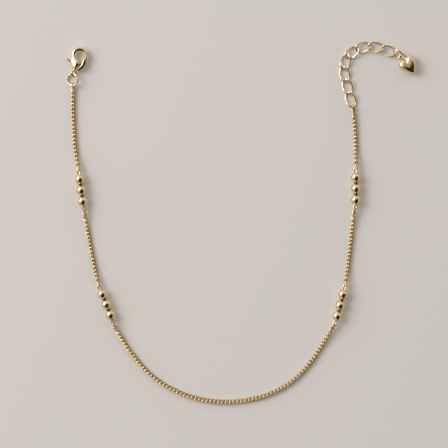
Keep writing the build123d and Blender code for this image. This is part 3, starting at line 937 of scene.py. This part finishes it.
# %% Cheeks: the puffed body
#   left x, y, right x, y, half thickness
CHEEKS = [
    (-0.46, -4.98, 0.30, -4.98, 0.34),
    (-0.62, -4.74, 0.28, -4.74, 0.62),
    (-0.86, -4.42, 0.36, -4.42, 0.98),
    (-1.16, -4.00, 0.50, -4.00, 1.18),
    (-1.54, -3.35, 0.76, -3.30, 1.28),
    (-1.86, -2.65, 0.94, -2.66, 1.28),
    (-2.02, -2.05, 0.90, -2.30, 1.16),
    (-2.12, -1.50, 0.50, -1.96, 0.98),
    (-2.18, -1.00, -0.35, -1.74, 0.80),
    (-2.20, -0.60, -0.95, -1.42, 0.64),
    (-2.20, -0.20, -1.45, -0.95, 0.45),
]
#   across, up, from the left edge: a round edge, a face that leans left, a ridge, and a
#   narrow face that falls towards the gate
CHEEK_SECTION = [
    (-1, 0), (-0.99, 0.2), (-0.93, 0.38), (-0.79, 0.56), (-0.56, 0.7), (-0.2, 0.85), (0.1, 0.965),
    (0.27, 1.0), (0.42, 0.985), (0.7, 0.92), (0.9, 0.84), (0.98, 0.66), (1, 0.4), (1, 0),
]
cheeks = skin("cheeks", in_clasp(leaf(CHEEKS, CHEEK_SECTION)))

# %% [markdown]
# ## The slot
# The lever needs a slot through the body, open to both sides. Its edges would be hard to
# follow with rings, so two boxes are cut out with a boolean instead, one for the tab's side
# and one for the gate's.

# %% Slot for the lever
#   centre and size in millimetres
SLOT_BOXES = [((-1.6, -2.97), (3.6, 2.36)), ((1.2, -2.55), (3.2, 3.2))]
SLOT_WIDTH = 0.00094
SHARP_EDGE = math.radians(40)


def box_rings(centre, size, height):
    """Box as two rings of four corners, in the clasp's frame."""
    corner = np.array([(-1, -1), (1, -1), (1, 1), (-1, 1)]) / 2
    flat = (np.array(centre) + corner * np.array(size)) * MM
    return np.stack([np.concatenate([flat, np.full((4, 1), z)], axis=1)
                     for z in (-height / 2, height / 2)])


def cut(piece, tool):
    """Takes the tool's volume away from the piece, and removes the tool."""
    modifier = piece.modifiers.new("cut", "BOOLEAN")
    modifier.operation = "DIFFERENCE"
    modifier.solver = "EXACT"
    modifier.object = tool
    bpy.context.view_layer.update()
    seen = piece.evaluated_get(bpy.context.evaluated_depsgraph_get())
    result = bpy.data.meshes.new_from_object(seen)
    piece.modifiers.clear()
    piece.data = result
    bpy.data.objects.remove(tool)


for centre, size in SLOT_BOXES:
    cut(cheeks, skin("slot", in_clasp(box_rings(centre, size, SLOT_WIDTH))))
cheeks.data.set_sharp_from_angle(angle=SHARP_EDGE)
print("cheeks with slot", len(cheeks.data.polygons), "faces")

# %% Eye below the body, leaning, and the body put together
CLASP_EYE = dict(drop=0.00575, radius=0.00078, wire=0.00029, tilt=38)

t = np.linspace(0, 2 * np.pi, 48, endpoint=False)
lean = math.radians(CLASP_EYE["tilt"])
eye_line = CLASP_EYE["radius"] * np.stack([np.cos(t) * math.cos(lean), np.sin(t),
                                           -np.cos(t) * math.sin(lean)], axis=1)
eye_line[:, 1] -= CLASP_EYE["drop"]
eye = skin("eye", round_wire(in_clasp(eye_line), CLASP_EYE["wire"]), looped=True)
finish_piece(join("lobster_clasp", [cheeks, hook, eye]), "anklet", cast_gold, "clasp_gold",
             "clasp_body")

# %% [markdown]
# ## The lever
# The lever is one casting too, and the only piece that moves: the gate, a hub with a bore
# round the rivet, an arm from hub to gate and the thumb tab. They are simple shapes that run
# into each other, and joined they move as one.

# %% Gate
#   inner x, y, outer x, y, half thickness
GATE = [
    (1.62, -0.08, 1.80, -0.05, 0.30),
    (1.52, -0.40, 2.10, -0.32, 0.62),
    (1.43, -0.95, 2.46, -0.80, 0.75),
    (1.38, -1.50, 2.64, -1.32, 0.80),
    (1.36, -2.10, 2.68, -2.02, 0.82),
    (1.27, -2.70, 2.54, -2.85, 0.82),
    (1.05, -3.25, 2.24, -3.58, 0.80),
    (0.78, -3.75, 1.82, -4.16, 0.72),
    (0.60, -4.15, 1.36, -4.58, 0.58),
    (0.50, -4.50, 0.92, -4.78, 0.40),
    (0.50, -4.72, 0.72, -4.88, 0.22),
]
#   across, up, from the inner edge: a wall, a face that leans in, a ridge, and a longer
#   face that falls away outwards
GATE_SECTION = [
    (-1, 0), (-1, 0.5), (-0.97, 0.68), (-0.88, 0.79), (-0.66, 0.92), (-0.5, 0.985), (-0.38, 1.0),
    (-0.2, 0.98), (0.3, 0.88), (0.7, 0.78), (0.88, 0.66), (0.97, 0.45), (1, 0.25), (1, 0),
]
gate = skin("gate", in_clasp(leaf(GATE, GATE_SECTION)))

# %% Hub
PIVOT = np.array([0.0002, -0.0029])
HUB = dict(outer=0.00076, bore=0.0004, half_thickness=0.0004)


def hub_rings():
    """Disc with a bore: a small rectangle of radius and height turned about the pivot."""
    profile = np.array([(HUB[edge], end) for edge, end in
                        (("bore", -1), ("outer", -1), ("outer", 1), ("bore", 1))])
    t = np.linspace(0, 2 * np.pi, 40, endpoint=False)[:, None]
    x = PIVOT[0] + profile[:, 0] * np.cos(t)
    y = PIVOT[1] + profile[:, 0] * np.sin(t)
    return np.stack([x, y, profile[:, 1] * HUB["half_thickness"] + 0 * t], axis=-1)


hub = skin("hub", in_clasp(hub_rings()), looped=True)

# %% Thumb tab and arm
TAB_END = np.array([-0.00305, -0.00225])
ARM_END = np.array([0.00168, -0.0027])
# half widths at a bar's two ends: the arm is as wide as the tab is at the hub
TAB_HALF_WIDTHS = (0.00060, 0.00038)
ARM_HALF_WIDTHS = (0.00060, 0.00060)
# both bars start inside the hub, and the tab ends round, past its end point
INSIDE_HUB = 0.00048
TAB_OVERHANG = 0.00036
BAR_END_RADIUS = 0.00035
#   across, up, from the upper side of the tab
TAB_SECTION = [
    (-1, 0), (-1, 0.3), (-0.92, 0.5), (-0.5, 0.72), (0, 0.9), (0.35, 1.0), (0.6, 0.97),
    (0.85, 0.8), (0.97, 0.5), (1, 0),
]


def bar_rings(start, end, half_widths, sides=28):
    """Bar with rounded ends: ridged sections along a straight line. Within a radius of an end
    the width shrinks as sqrt(1 - (1 - d / r)^2), with d the distance from the end."""
    s = np.linspace(0, 1, 24)
    line = start + (end - start) * s[:, None]
    ahead = unit(end - start)
    side = np.array([-ahead[1], ahead[0]])
    from_end = np.minimum(s, 1 - s) * np.linalg.norm(end - start)
    inwards = 1 - np.clip(from_end / BAR_END_RADIUS, 0.02, 1)
    round_off = np.sqrt(np.clip(1 - inwards**2, 0.04, 1))
    width = np.interp(s, [0, 1], half_widths) * round_off
    thick = HUB["half_thickness"] * round_off**0.5
    return ribbed(line, side * width[:, None], thick, TAB_SECTION, sides)


# %% The lever put together
away = unit(TAB_END - PIVOT)
tab = skin("tab", in_clasp(bar_rings(PIVOT + away * INSIDE_HUB, TAB_END + away * TAB_OVERHANG,
                                     TAB_HALF_WIDTHS)))
arm = skin("arm", in_clasp(bar_rings(PIVOT + np.array([INSIDE_HUB, 0]), ARM_END,
                                     ARM_HALF_WIDTHS)))
finish_piece(join("clasp_gate_and_tab", [gate, hub, tab, arm]), "clasp_lever", cast_gold,
             "clasp_gold", "clasp_lever")

# %% [markdown]
# ## The rivet
# A plain pin through cheeks and hub. It is a straight stretch of thick wire, with sharp
# edges where its flat ends begin, and it stands upright, so its circle needs a level normal.

# %% Rivet
RIVET_RADIUS = 0.00035
RIVET_HALF_LENGTH = 0.00104

up_and_down = np.linspace(-RIVET_HALF_LENGTH, RIVET_HALF_LENGTH, 8)[:, None]
rivet_line = in_clasp(np.array([*PIVOT, 0]) + up_and_down * UP)
rivet = skin("rivet_pin", round_wire(rivet_line, RIVET_RADIUS, normal=way(0), sides=28,
                                     looped=False))
rivet.data.set_sharp_from_angle(angle=SHARP_EDGE)
finish_piece(rivet, "anklet", cast_gold, "clasp_gold", "clasp_rivet")
